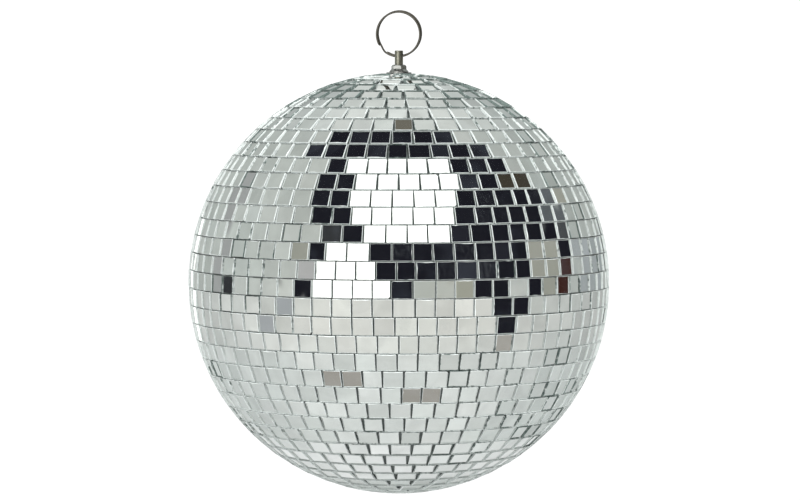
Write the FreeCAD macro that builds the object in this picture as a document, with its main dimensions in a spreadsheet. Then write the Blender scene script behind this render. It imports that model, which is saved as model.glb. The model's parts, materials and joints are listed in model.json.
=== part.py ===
import FreeCAD, Part
import math
import os
import random

import Sketcher

# A mirror ball that hangs from a split ring: a hollow two-part plastic core, rows of silvered glass
# tiles on cloth strips, and a cross-drilled hanger post bolted through the crown.
# Millimetres, +Z up. The origin is where a hook bears on the inside of the split ring, and the
# core's centre lies straight below it. "Height" means height above the core's centre.

DIMENSIONS = [
    ("core_diameter", 244.4, "outside of the plastic core"),
    ("core_wall", 2.2, "wall of the core"),
    ("seat_height", 117.5, "height of the flat seat inside the crown"),
    ("lap_height", 6.0, "overlap of the two half shells at the equator"),
    ("lap_clearance", 0.1, "glue room in the overlap"),
    ("boss_diameter", 15.0, "flat boss on the crown"),
    ("boss_rise", 1.9, "top of the boss above the core's outside"),
    ("crown_bore", 5.4, "hole through the crown"),
    ("rib_count", 8, "ribs inside the crown"),
    ("rib_thickness", 1.8, "thickness of a rib"),
    ("rib_inner_radius", 21.5, "where a rib starts"),
    ("rib_outer_radius", 60.0, "where a rib runs out into the wall"),
    ("rib_foot_height", 113.0, "lower inner corner of a rib"),
    ("washer_diameter", 15.0, "large washer on the boss"),
    ("washer_bore", 5.3, "bore of the washer"),
    ("washer_thickness", 1.2, "thickness of the washer"),
    ("nut_flats", 8.0, "across the flats of every nut"),
    ("nut_chamfer_diameter", 7.3, "a nut's face inside its 45 degree chamfer"),
    ("nut_bore", 5.1, "bore of every nut, over its thread"),
    ("flange_nut_height", 4.5, "outer flanged nut, whole height"),
    ("flange_diameter", 11.4, "its flange"),
    ("flange_rim", 0.7, "thickness of the flange at its rim"),
    ("flange_height", 2.2, "height of the flange's cone"),
    ("inner_nut_height", 4.0, "nut under the crown"),
    ("jam_nut_height", 2.7, "thin nut that locks it"),
    ("plate_diameter", 40.0, "load plate inside the crown"),
    ("plate_thickness", 1.5, "thickness of the load plate"),
    ("plate_bore", 5.5, "bore of the load plate"),
    ("lock_washer_diameter", 9.2, "split lock washer"),
    ("lock_washer_thickness", 1.2, "its thickness, flattened"),
    ("lock_washer_slit", 0.7, "its slit"),
    ("post_diameter", 5.0, "hanger post"),
    ("post_rise", 8.4, "post above the outer nut"),
    ("post_tail", 1.6, "post below the jam nut"),
    ("post_chamfer", 0.4, "chamfer at both ends of the post"),
    ("relief_diameter", 4.2, "groove between the post's shank and its thread"),
    ("relief_width", 0.8, "width of that groove"),
    ("shank_length", 9.0, "plain shank above the groove, down into the outer nut"),
    ("cross_bore", 3.0, "cross hole that the ring passes through"),
    ("cross_bore_drop", 3.2, "its axis below the top of the post"),
    ("ring_diameter", 27.5, "one coil of the split ring, outside"),
    ("ring_wire_width", 1.1, "its wire, along the radius"),
    ("ring_wire_thickness", 1.0, "its wire, along the ring's axis"),
    ("ring_coil_gap", 0.06, "between its two coils"),
    ("ring_coil_shift", 0.25, "each coil off the ring's centre, sideways and up or down"),
    ("ring_step_angle", 25.0, "where the wire crosses from coil to coil"),
    ("ring_turn", 149.5, "turn that puts the crossing low on the left"),
    ("row_count", 36, "rows of tiles"),
    ("top_bare_angle", 3.7, "from the upper pole to the first row"),
    ("bottom_bare_angle", 2.4, "from the last row to the lower pole"),
    ("tile_height", 9.95, "a tile across its row"),
    ("tile_width", 10.9, "usual width of a tile along its row"),
    ("width_spread", 0.55, "usual difference from that width"),
    ("width_limit", 1.2, "largest difference from that width"),
    ("tile_thickness", 2.0, "thickness of a tile"),
    ("least_gap", 0.3, "least gap between the backs of two tiles in a row"),
    ("loose_gap", 0.35, "largest room beyond that"),
    ("corner_gap", 0.15, "least gap between a tile's corner and the next row, near the poles"),
    ("tilt_spread", 0.55, "usual lean of a tile off the sphere, in degrees"),
    ("tilt_limit", 1.2, "largest lean"),
    ("twist_limit", 0.5, "largest turn of a tile in its own plane, in degrees"),
    ("shift_limit", 0.08, "largest shift of a tile across its row"),
    ("bottom_tile_side", 7.0, "the tile that closes the lower pole"),
    ("cloth_thickness", 0.3, "cloth strip under a row"),
    ("cloth_lift", 0.05, "glue under the cloth"),
    ("glue_thickness", 0.25, "glue between cloth and glass"),
    ("cloth_edge_gap", 0.1, "from the cloth's edge to the row's edge"),
]

LAYOUT_SEED = 7

# Each row starts at a drawn place. These rows are turned from it by hand, in degrees.
ROW_TURNS = {
    8: 1.5,
    9: -0.5,
    10: -1,
    11: -2,
    12: 2,
    13: 1.5,
    14: -1.5,
    15: -3,
    16: 2.5,
    17: 0.5,
    18: 2,
    19: -1.5,
    20: -1.5,
    21: 1.5,
    24: -2.5,
}


class Size:
    """A length that knows its value in millimetres and its expression in the document's sheet."""

    def __init__(self, value, text):
        self.value = float(value)
        self.text = text

    def joined(self, other, sign, value):
        text = other.text if isinstance(other, Size) else repr(other)
        return Size(value, f"({self.text} {sign} {text})")

    def __add__(self, other):
        return self.joined(other, "+", self.value + number(other))

    def __sub__(self, other):
        return self.joined(other, "-", self.value - number(other))

    def __mul__(self, other):
        return self.joined(other, "*", self.value * number(other))

    def __truediv__(self, other):
        return self.joined(other, "/", self.value / number(other))

    def __neg__(self):
        return Size(-self.value, f"(0 - {self.text})")


ZERO = Size(0, "0")
ON_ARC = "where the arc beside it puts it"
ON_ARC_BELOW = "the same, but below the origin"


def number(value):
    return value.value if isinstance(value, Size) else float(value)


def add_sheet(doc):
    sheet = doc.addObject("Spreadsheet::Sheet", "dims")
    for line, (alias, value, meaning) in enumerate(DIMENSIONS, 1):
        sheet.set(f"A{line}", meaning)
        sheet.set(f"B{line}", str(value))
        sheet.setAlias(f"B{line}", alias)
    doc.recompute()
    return {a: Size(sheet.get(a), f"dims.{a}") for a, _, _ in DIMENSIONS}


doc = FreeCAD.newDocument("mirror_ball")
d = add_sheet(doc)

core_radius = d["core_diameter"] / 2
inner_radius = core_radius - d["core_wall"]
boss_top = core_radius + d["boss_rise"]
washer_top = boss_top + d["washer_thickness"]
flange_nut_top = washer_top + d["flange_nut_height"]
post_top = flange_nut_top + d["post_rise"]
cross_bore_height = post_top - d["cross_bore_drop"]
plate_bottom = d["seat_height"] - d["plate_thickness"]
lock_washer_bottom = plate_bottom - d["lock_washer_thickness"]
inner_nut_bottom = lock_washer_bottom - d["inner_nut_height"]
jam_nut_bottom = inner_nut_bottom - d["jam_nut_height"]
post_bottom = jam_nut_bottom - d["post_tail"]
ring_wire_radius = (d["ring_diameter"] - d["ring_wire_width"]) / 2
# Half the rise of the wire's arc inside the post, so that the wire sits centred in the cross hole.
ring_drop = d["post_diameter"] * d["post_diameter"] / (ring_wire_radius * 16)
ring_height = cross_bore_height - ring_drop + ring_wire_radius
ring_eye_top = ring_height + ring_wire_radius - d["ring_wire_width"] / 2
hang_height = ring_eye_top - d["ring_coil_shift"]


# ---- helpers -------------------------------------------------------------------------------------


def bind(thing, prop, size):
    thing.setExpression(prop, size.text)


def place(thing, height=ZERO):
    """Puts a piece at a height above the core's centre, in the frame whose origin is the ring."""
    bind(thing, "Placement.Base.z", height - hang_height)


def add_body(label):
    body = doc.addObject("PartDesign::Body", label)
    body.Label = label
    return body


def origin_part(body, role):
    return next(f for f in body.Origin.OriginFeatures if f.Role == role)


def add_sketch(body, name, plane="XZ_Plane"):
    sketch = body.newObject("Sketcher::SketchObject", name)
    sketch.AttachmentSupport = [(origin_part(body, plane), "")]
    sketch.MapMode = "FlatFace"
    return sketch


def bind_constraint(sketch, kind, *where_and_size):
    *where, size = where_and_size
    index = sketch.addConstraint(Sketcher.Constraint(kind, *where, size.value))
    bind(sketch, f"Constraints[{index}]", size)


def outline_points(corners, arcs):
    count = len(corners)
    radius_at = {}
    for side, radius in arcs.items():
        radius_at[side] = radius_at[(side + 1) % count] = radius.value
    points = []
    for corner, (x, y) in enumerate(corners):
        if x is ON_ARC:
            points.append((math.sqrt(radius_at[corner] ** 2 - y.value**2), y.value))
        elif y in (ON_ARC, ON_ARC_BELOW):
            sign = 1 if y is ON_ARC else -1
            points.append((x.value, sign * math.sqrt(radius_at[corner] ** 2 - x.value**2)))
        else:
            points.append((x.value, y.value))
    return points


def draw_outline(sketch, corners, arcs=None):
    """Draws a closed outline of corners (x, y). Sides are straight, but for those in arcs, which
    maps a side's number, that of the corner it starts from, to its radius about the origin."""
    arcs = arcs or {}
    count = len(corners)
    points = outline_points(corners, arcs)
    ends = []
    for side in range(count):
        a, b = points[side], points[(side + 1) % count]
        if side in arcs:
            first, last = (math.atan2(p[1], p[0]) for p in (a, b))
            forward = last > first
            circle = Part.Circle(FreeCAD.Vector(), FreeCAD.Vector(0, 0, 1), arcs[side].value)
            arc = Part.ArcOfCircle(circle, min(first, last), max(first, last))
            index = sketch.addGeometry(arc)
            sketch.addConstraint(Sketcher.Constraint("Coincident", index, 3, -1, 1))
            bind_constraint(sketch, "Radius", index, arcs[side])
            ends.append((index, 1, 2) if forward else (index, 2, 1))
        else:
            line = Part.LineSegment(FreeCAD.Vector(*a, 0), FreeCAD.Vector(*b, 0))
            ends.append((sketch.addGeometry(line), 1, 2))
    for side in range(count):
        index, _, end = ends[side]
        after, start, _ = ends[(side + 1) % count]
        sketch.addConstraint(Sketcher.Constraint("Coincident", index, end, after, start))
    for (x, y), (index, start, _) in zip(corners, ends):
        for kind, size in (("DistanceX", x), ("DistanceY", y)):
            if isinstance(size, Size):
                bind_constraint(sketch, kind, -1, 1, index, start, size)
    return sketch


def revolve(body, name, sketch, axis="V_Axis", angle=None):
    turned = body.newObject("PartDesign::Revolution", name)
    turned.Profile = sketch
    turned.ReferenceAxis = (sketch, [axis])
    turned.Angle = 360
    if angle is not None:
        bind(turned, "Angle", angle)
    return turned


def add_disc(label, outside, bore, thickness, height):
    """A flat round piece with a central bore, from its lower face at a height."""
    body = add_body(label)
    sketch = add_sketch(body, label + "_profile")
    corners = [
        (bore / 2, ZERO),
        (outside / 2, ZERO),
        (outside / 2, thickness),
        (bore / 2, thickness),
    ]
    revolve(body, label + "_disc", draw_outline(sketch, corners))
    place(body, height)
    return body


def primitive(kind, name, **sizes):
    thing = doc.addObject(kind, name)
    for prop, size in sizes.items():
        bind(thing, prop, size)
    return thing


def boolean(kind, name, base, tool):
    thing = doc.addObject(kind, name)
    thing.Base = base
    thing.Tool = tool
    return thing


# ---- the hollow core -----------------------------------------------------------------------------


def add_upper_shell():
    """The upper half of the core: crown boss, flat seat inside it, ribs, and the lap's outer lip."""
    body = add_body("shell_upper")
    lip_radius = (core_radius + inner_radius + d["lap_clearance"]) / 2
    corners = [
        (d["crown_bore"] / 2, d["seat_height"]),
        (d["crown_bore"] / 2, boss_top),
        (d["boss_diameter"] / 2, boss_top),
        (d["boss_diameter"] / 2, ON_ARC),
        (ON_ARC, ZERO),
        (lip_radius, ZERO),
        (lip_radius, d["lap_height"]),
        (ON_ARC, d["lap_height"]),
        (ON_ARC, d["seat_height"]),
    ]
    sketch = add_sketch(body, "upper_profile")
    revolve(body, "upper_wall", draw_outline(sketch, corners, {3: core_radius, 7: inner_radius}))
    doc.recompute()
    rib = body.newObject("PartDesign::Pad", "crown_rib")
    rib.Profile = add_rib_sketch(body)
    rib.SideType = "Symmetric"
    bind(rib, "Length", d["rib_thickness"])
    doc.recompute()
    pattern = body.newObject("PartDesign::PolarPattern", "crown_ribs")
    pattern.Originals = [rib]
    pattern.Axis = (origin_part(body, "Z_Axis"), [""])
    pattern.Angle = 360
    bind(pattern, "Occurrences", d["rib_count"])
    body.Tip = pattern
    place(body)
    return body


def add_rib_sketch(body):
    """A gusset that hangs from the crown and runs out into the wall; its back lies inside the wall."""
    mid_wall = (core_radius + inner_radius) / 2
    corners = [
        (d["rib_inner_radius"], ON_ARC),
        (d["rib_inner_radius"], d["rib_foot_height"]),
        (d["rib_outer_radius"], ON_ARC),
    ]
    sketch = add_sketch(body, "rib_profile")
    return draw_outline(sketch, corners, {2: mid_wall})


def add_lower_shell():
    """The lower half of the core, closed at its pole, with the spigot that the lap glues over."""
    body = add_body("shell_lower")
    spigot_radius = (core_radius + inner_radius - d["lap_clearance"]) / 2
    spigot_top = d["lap_height"] - d["lap_clearance"]
    corners = [
        (ZERO, ON_ARC_BELOW),
        (ON_ARC, ZERO),
        (spigot_radius, ZERO),
        (spigot_radius, spigot_top),
        (ON_ARC, spigot_top),
        (ZERO, ON_ARC_BELOW),
    ]
    sketch = add_sketch(body, "lower_profile")
    revolve(body, "lower_wall", draw_outline(sketch, corners, {0: core_radius, 4: inner_radius}))
    place(body)
    return body


# ---- hanger and fasteners ------------------------------------------------------------------------


def add_post():
    """A steel post: plain cross-drilled shank, relief groove, and a long thread at full diameter."""
    body = add_body("hanger_post")
    radius = d["post_diameter"] / 2
    tip_radius = radius - d["post_chamfer"]
    relief_radius = d["relief_diameter"] / 2
    relief_top = post_top - d["shank_length"]
    relief_bottom = relief_top - d["relief_width"]
    corners = [
        (ZERO, post_bottom),
        (tip_radius, post_bottom),
        (radius, post_bottom + d["post_chamfer"]),
        (radius, relief_bottom),
        (relief_radius, relief_bottom),
        (relief_radius, relief_top),
        (radius, relief_top),
        (radius, post_top - d["post_chamfer"]),
        (tip_radius, post_top),
        (ZERO, post_top),
    ]
    revolve(body, "post_rod", draw_outline(add_sketch(body, "post_profile"), corners))
    doc.recompute()
    sketch = add_sketch(body, "cross_bore_circle", "YZ_Plane")
    middle = FreeCAD.Vector(0, cross_bore_height.value, 0)
    circle = Part.Circle(middle, FreeCAD.Vector(0, 0, 1), d["cross_bore"].value / 2)
    index = sketch.addGeometry(circle)
    sketch.addConstraint(Sketcher.Constraint("PointOnObject", index, 3, -2))
    bind_constraint(sketch, "DistanceY", -1, 1, index, 3, cross_bore_height)
    bind_constraint(sketch, "Radius", index, d["cross_bore"] / 2)
    bore = body.newObject("PartDesign::Pocket", "cross_bore_pocket")
    bore.Profile = sketch
    bore.SideType = "Symmetric"
    bind(bore, "Length", d["post_diameter"] * 2)
    place(body)
    return body


def add_ring_section(body, name, rear, angle):
    """The wire's section in one of the two coils, turned round that coil's own centre."""
    inside = ring_wire_radius - d["ring_wire_width"] / 2
    outside = ring_wire_radius + d["ring_wire_width"] / 2
    near = d["ring_coil_gap"] / 2
    far = near + d["ring_wire_thickness"]
    low, high, shift = (near, far, d["ring_coil_shift"])
    if not rear:
        low, high, shift = (-far, -near, -d["ring_coil_shift"])
    sketch = add_sketch(body, name, "XY_Plane")
    turned = FreeCAD.Rotation(FreeCAD.Vector(0, 1, 0), angle.value)
    sketch.AttachmentOffset = FreeCAD.Placement(FreeCAD.Vector(), turned)
    bind(sketch, "AttachmentOffset.Rotation.Angle", angle)
    bind(sketch, "AttachmentOffset.Base.x", shift)
    bind(sketch, "AttachmentOffset.Base.z", shift)
    corners = [(inside, low), (outside, low), (outside, high), (inside, high)]
    return draw_outline(sketch, corners)


def add_split_ring():
    """A split ring: two flat coils of one wire side by side, joined where the wire crosses over.
    The coils aren't quite concentric, so the ring looks thicker high on one side."""
    body = add_body("split_ring")
    start = d["ring_turn"]
    coil_angle = Size(360, "360") - d["ring_step_angle"]
    end = start + coil_angle
    front = add_ring_section(body, "front_section", False, start)
    revolve(body, "front_coil", front, angle=coil_angle)
    doc.recompute()
    crossing = body.newObject("PartDesign::AdditiveLoft", "crossing")
    crossing.Profile = add_ring_section(body, "crossing_start", False, end)
    crossing.Sections = [add_ring_section(body, "crossing_end", True, start)]
    crossing.Ruled = True
    doc.recompute()
    rear = add_ring_section(body, "rear_section", True, start)
    revolve(body, "rear_coil", rear, angle=coil_angle)
    place(body, ring_height)
    return body


def add_hex(name, height):
    prism = primitive("Part::Prism", name, Circumradius=d["nut_flats"] / math.sqrt(3), Height=height)
    prism.Polygon = 6
    return prism


def chamfer_cone(name, height, pointing_up):
    """A cone whose common with a hexagonal prism is the prism with its corners turned off."""
    tip = d["nut_chamfer_diameter"] / 2
    foot = tip + height
    low, high = (foot, tip) if pointing_up else (tip, foot)
    return primitive("Part::Cone", name, Radius1=low, Radius2=high, Height=height)


def add_nut(label, height, bottom, flanged=False):
    """A hexagon nut with its corners chamfered, or a flanged one that is chamfered on top only."""
    shape = boolean(
        "Part::Common",
        label + "_top",
        add_hex(label + "_hexagon", height),
        chamfer_cone(label + "_top_cone", height, True),
    )
    if flanged:
        rim = primitive(
            "Part::Cylinder",
            label + "_rim",
            Radius=d["flange_diameter"] / 2,
            Height=d["flange_rim"],
        )
        cone = primitive(
            "Part::Cone",
            label + "_flange",
            Radius1=d["flange_diameter"] / 2,
            Radius2=d["nut_flats"] / 2,
            Height=d["flange_height"] - d["flange_rim"],
        )
        bind(cone, "Placement.Base.z", d["flange_rim"])
        shape = boolean("Part::Fuse", label + "_on_rim", shape, rim)
        shape = boolean("Part::Fuse", label + "_on_flange", shape, cone)
    else:
        cone = chamfer_cone(label + "_bottom_cone", height, False)
        shape = boolean("Part::Common", label + "_chamfered", shape, cone)
    bore = primitive("Part::Cylinder", label + "_bore", Radius=d["nut_bore"] / 2, Height=height)
    nut = boolean("Part::Cut", label, shape, bore)
    nut.Label = label
    place(nut, bottom)
    return nut


def add_lock_washer():
    """A split lock washer, drawn flattened, as it is under a tight nut."""
    body = add_disc(
        "lock_washer",
        d["lock_washer_diameter"],
        d["nut_bore"],
        d["lock_washer_thickness"],
        lock_washer_bottom,
    )
    doc.recompute()
    half = d["lock_washer_slit"] / 2
    reach = d["lock_washer_diameter"]
    corners = [(ZERO, -half), (reach, -half), (reach, half), (ZERO, half)]
    slit = body.newObject("PartDesign::Pocket", "lock_washer_slit")
    slit.Profile = draw_outline(add_sketch(body, "slit_outline", "XY_Plane"), corners)
    slit.SideType = "Symmetric"
    bind(slit, "Length", d["lock_washer_thickness"] * 3)
    return body


# ---- tiles and cloth -----------------------------------------------------------------------------
# A row holds dozens of loose solids, each with its own lean, which no pattern feature makes, so
# these nodes are Part::Feature objects whose shapes are worked out here from the sheet's sizes.

row_count = int(d["row_count"].value)
row_pitch = (180 - d["top_bare_angle"].value - d["bottom_bare_angle"].value) / row_count
cloth_radius = core_radius.value + d["cloth_lift"].value
tile_radius = cloth_radius + d["cloth_thickness"].value + d["glue_thickness"].value


def row_latitude(row):
    return 90 - d["top_bare_angle"].value - row_pitch * (row - 0.5)


def add_feature(label, shape):
    feature = doc.addObject("Part::Feature", label)
    feature.Label = label
    feature.Shape = shape
    feature.Placement = FreeCAD.Placement(
        FreeCAD.Vector(0, 0, -hang_height.value), FreeCAD.Rotation()
    )
    return feature


def make_tile(width, height, longitude, latitude, lean=(0, 0, 0), shift=0):
    """One glass tile on the sphere. lean turns it about its east, north and outward axes, in
    degrees, and shift moves it north."""
    corner = FreeCAD.Vector(-width / 2, -height / 2, 0)
    tile = Part.makeBox(width, height, d["tile_thickness"].value, corner)
    about_east, about_north, twist = (
        FreeCAD.Rotation(FreeCAD.Vector(*axis), angle)
        for axis, angle in zip(((1, 0, 0), (0, 1, 0), (0, 0, 1)), lean)
    )
    up_to_outward = FreeCAD.Rotation(FreeCAD.Vector(1, 0, 0), 90 - latitude)
    around = FreeCAD.Rotation(FreeCAD.Vector(0, 0, 1), longitude + 90)
    on_sphere = around * up_to_outward
    seat = on_sphere.multVec(FreeCAD.Vector(0, shift, tile_radius))
    tile.Placement = FreeCAD.Placement(seat, on_sphere * twist * about_east * about_north)
    return tile


def row_height(latitude):
    """Tiles are square cornered, so in the tightest rows they are cut lower to clear the next row."""
    height, width = d["tile_height"].value, d["tile_width"].value
    row_gap = 2 * tile_radius * math.tan(math.radians(row_pitch / 2)) - height
    cone_length = tile_radius / math.tan(math.radians(abs(latitude))) + height / 2
    corner_reach = width**2 / (8 * cone_length)
    return height - 2 * max(0, corner_reach + d["corner_gap"].value - row_gap)


def draw_widths(chance, tightest):
    """Widths and angles, in radians, of the tiles that fill a row whose tightest radius is given."""

    def angle(width, gap):
        return 2 * math.atan((width + gap) / 2 / tightest)

    middle, limit = d["tile_width"].value, d["width_limit"].value
    widths, gaps = [], []
    while sum(map(angle, widths, gaps)) < 2 * math.pi:
        change = chance.gauss(0, d["width_spread"].value)
        widths.append(middle + max(-limit, min(limit, change)))
        gaps.append(d["least_gap"].value + chance.uniform(0, d["loose_gap"].value))
    widths.pop()
    gaps.pop()
    angles = list(map(angle, widths, gaps))
    spare = (2 * math.pi - sum(angles)) / len(angles)
    return [(width, own + spare) for width, own in zip(widths, angles)]


def add_row(row):
    chance = random.Random(LAYOUT_SEED * 1000 + row)
    latitude = row_latitude(row)
    height = row_height(latitude)
    tilt = math.radians(latitude)
    tightest = tile_radius * math.cos(tilt) - height / 2 * abs(math.sin(tilt))
    limit, spread = d["tilt_limit"].value, d["tilt_spread"].value
    start = chance.uniform(0, 2 * math.pi) + math.radians(ROW_TURNS.get(row, 0))
    tiles = []
    for width, angle in draw_widths(chance, tightest):
        lean = [max(-limit, min(limit, chance.gauss(0, spread))) for _ in range(2)]
        lean.append(chance.uniform(-1, 1) * d["twist_limit"].value)
        shift = chance.uniform(-1, 1) * d["shift_limit"].value
        longitude = math.degrees(start + angle / 2)
        tiles.append(make_tile(width, height, longitude, latitude, lean, shift))
        start += angle
    return add_feature(f"mirror_row_{row:02d}", Part.makeCompound(tiles))


def cloth_strip(latitude):
    """A strip of cloth, as a thin conical band that touches the core along its middle."""
    tilt = math.radians(latitude)
    outward = FreeCAD.Vector(math.cos(tilt), 0, math.sin(tilt))
    north = FreeCAD.Vector(-math.sin(tilt), 0, math.cos(tilt))
    reach = cloth_radius * math.tan(math.radians(row_pitch / 2)) - d["cloth_edge_gap"].value
    low = outward * cloth_radius
    high = outward * (cloth_radius + d["cloth_thickness"].value)
    corners = [low - north * reach, low + north * reach, high + north * reach, high - north * reach]
    face = Part.Face(Part.makePolygon(corners + corners[:1]))
    return face.revolve(FreeCAD.Vector(), FreeCAD.Vector(0, 0, 1), 360)


def add_cloth():
    side = d["bottom_tile_side"].value
    corner = FreeCAD.Vector(-side / 2, -side / 2, -cloth_radius - d["cloth_thickness"].value)
    patch = Part.makeBox(side, side, d["cloth_thickness"].value, corner)
    strips = [cloth_strip(row_latitude(row)) for row in range(1, row_count + 1)]
    return add_feature("cloth_backing", Part.makeCompound(strips + [patch]))


# ---- the whole ball ------------------------------------------------------------------------------


def build():
    nodes = [
        add_upper_shell(),
        add_lower_shell(),
        add_disc(
            "top_washer",
            d["washer_diameter"],
            d["washer_bore"],
            d["washer_thickness"],
            boss_top,
        ),
        add_nut("flange_nut", d["flange_nut_height"], washer_top, flanged=True),
        add_post(),
        add_split_ring(),
        add_disc(
            "load_plate",
            d["plate_diameter"],
            d["plate_bore"],
            d["plate_thickness"],
            plate_bottom,
        ),
        add_lock_washer(),
        add_nut("inner_nut", d["inner_nut_height"], inner_nut_bottom),
        add_nut("jam_nut", d["jam_nut_height"], jam_nut_bottom),
        add_cloth(),
    ]
    nodes += [add_row(row) for row in range(1, row_count + 1)]
    side = d["bottom_tile_side"].value
    nodes.append(add_feature("mirror_bottom_tile", make_tile(side, side, 0, -90)))
    return nodes


def check(nodes):
    doc.recompute()
    failed = [o.Label for o in doc.Objects if {"Invalid", "Error"} & set(o.State)]
    if failed:
        raise RuntimeError(f"these did not compute: {failed}")
    for node in nodes:
        if node.Shape.isNull() or not node.Shape.isValid() or not node.Shape.Solids:
            raise RuntimeError(f"{node.Label} has no valid solid")


def write(nodes):
    os.makedirs("parts", exist_ok=True)
    for node in nodes:
        node.Shape.exportStep(f"parts/{node.Label}.step")


nodes = build()
check(nodes)
write(nodes)
print(f"{len(nodes)} nodes, {sum(len(n.Shape.Solids) for n in nodes)} solids")
print(f"hang height {hang_height.value:.3f}, cross bore height {cross_bore_height.value:.3f}")
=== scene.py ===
import json
import math
import random

import bmesh
import bpy
from mathutils import Matrix, Vector


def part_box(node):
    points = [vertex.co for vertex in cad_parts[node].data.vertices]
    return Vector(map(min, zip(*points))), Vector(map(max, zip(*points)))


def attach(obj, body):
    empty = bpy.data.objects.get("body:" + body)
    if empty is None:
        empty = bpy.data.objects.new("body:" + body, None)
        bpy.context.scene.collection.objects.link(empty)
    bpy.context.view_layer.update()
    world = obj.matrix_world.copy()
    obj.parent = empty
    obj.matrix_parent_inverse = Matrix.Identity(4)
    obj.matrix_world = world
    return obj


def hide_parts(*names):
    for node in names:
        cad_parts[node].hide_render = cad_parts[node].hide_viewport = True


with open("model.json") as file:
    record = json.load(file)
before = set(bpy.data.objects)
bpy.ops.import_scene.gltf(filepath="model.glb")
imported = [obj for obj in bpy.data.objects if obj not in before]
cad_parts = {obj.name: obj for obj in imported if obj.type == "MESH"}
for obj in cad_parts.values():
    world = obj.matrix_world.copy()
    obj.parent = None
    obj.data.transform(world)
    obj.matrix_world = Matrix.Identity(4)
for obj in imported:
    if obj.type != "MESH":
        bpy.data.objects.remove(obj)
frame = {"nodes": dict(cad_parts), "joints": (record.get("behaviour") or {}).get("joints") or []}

for leftover in ("Cube", "Light", "Camera"):
    if leftover in bpy.data.objects:
        bpy.data.objects.remove(bpy.data.objects[leftover])
bpy.context.view_layer.update()

MM = 0.001
CENTRE = Vector((0, 0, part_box("shell_upper")[0].z))
BALL_RADIUS = 125.0 * MM

# ---- small helpers -------------------------------------------------------------------------------


def add_piece(name, mesh, body, materials, replaces=()):
    piece = bpy.data.objects.new(name, mesh)
    bpy.context.scene.collection.objects.link(piece)
    for material in materials:
        mesh.materials.append(material)
    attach(piece, body)
    if replaces:
        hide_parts(*replaces)
    return piece


def mesh_from(name, points, faces, smooth=True):
    mesh = bpy.data.meshes.new(name)
    mesh.from_pydata([tuple(p) for p in points], [], faces)
    mesh.validate()
    mesh.polygons.foreach_set("use_smooth", [smooth] * len(mesh.polygons))
    mesh.update()
    return mesh


def grid_faces(rows, columns, wrap_rows=False):
    """Quads over points laid out row by row. Each row is closed on itself."""
    faces = []
    for r in range(rows if wrap_rows else rows - 1):
        for c in range(columns):
            a, b = r * columns, (r + 1) % rows * columns
            d = (c + 1) % columns
            faces.append((a + c, a + d, b + d, b + c))
    return faces


def direction_to(turn, rise):
    """The direction that lies so many degrees round the vertical from -Y, and so many up."""
    a, e = math.radians(turn), math.radians(rise)
    return Vector((math.sin(a) * math.cos(e), -math.cos(a) * math.cos(e), math.sin(e)))


def clamped(value):
    return min(1.0, max(0.0, value))


def add_node(tree, kind, inputs=None, **settings):
    node = tree.nodes.new(kind)
    for name, value in settings.items():
        setattr(node, name, value)
    for key, value in (inputs or {}).items():
        if isinstance(value, bpy.types.NodeSocket):
            tree.links.new(value, node.inputs[key])
        else:
            node.inputs[key].default_value = value
    return node


def calc(tree, operation, *values):
    inputs = dict(enumerate(values))
    return add_node(tree, "ShaderNodeMath", inputs, operation=operation).outputs[0]


def dot(tree, a, b):
    node = add_node(tree, "ShaderNodeVectorMath", {0: a, 1: b}, operation="DOT_PRODUCT")
    return node.outputs["Value"]


def ramp(tree, value, low, high, out_low=0.0, out_high=1.0, kind="SMOOTHSTEP"):
    """A value from low to high, turned into one from out_low to out_high and held there beyond."""
    inputs = {
        "Value": value,
        "From Min": low,
        "From Max": high,
        "To Min": out_low,
        "To Max": out_high,
    }
    return add_node(tree, "ShaderNodeMapRange", inputs, interpolation_type=kind).outputs["Result"]


def mix_colour(tree, factor, a, b, blend="MIX"):
    node = add_node(tree, "ShaderNodeMix", data_type="RGBA", blend_type=blend)
    for key, value in ((0, factor), (6, a), (7, b)):
        if isinstance(value, bpy.types.NodeSocket):
            tree.links.new(value, node.inputs[key])
        else:
            node.inputs[key].default_value = value
    return node.outputs[2]


def noise(tree, coords, scale, detail=3.0, roughness=0.5, distortion=0.0):
    inputs = {
        "Vector": coords,
        "Scale": scale,
        "Detail": detail,
        "Roughness": roughness,
        "Distortion": distortion,
    }
    return add_node(tree, "ShaderNodeTexNoise", inputs).outputs["Fac"]


def stretched(tree, coords, scale):
    return add_node(tree, "ShaderNodeMapping", {"Vector": coords, "Scale": scale}).outputs[0]


def bump(tree, height, distance, strength=1.0):
    inputs = {"Height": height, "Distance": distance, "Strength": strength}
    return add_node(tree, "ShaderNodeBump", inputs).outputs["Normal"]


def new_material(name, **fixed):
    """A material with a Principled shader: the material, its tree, shader and coordinates."""
    material = bpy.data.materials.new(name)
    material.use_nodes = True
    tree = material.node_tree
    shader = tree.nodes["Principled BSDF"]
    for key, value in fixed.items():
        shader.inputs[key.replace("_", " ")].default_value = value
    coords = add_node(tree, "ShaderNodeTexCoord").outputs["Object"]
    return material, tree, shader, coords


def colour(r, g, b):
    return (r, g, b, 1.0)


# ---- materials -----------------------------------------------------------------------------------


def attribute(tree, name):
    return add_node(tree, "ShaderNodeAttribute", attribute_name=name).outputs["Fac"]


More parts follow.
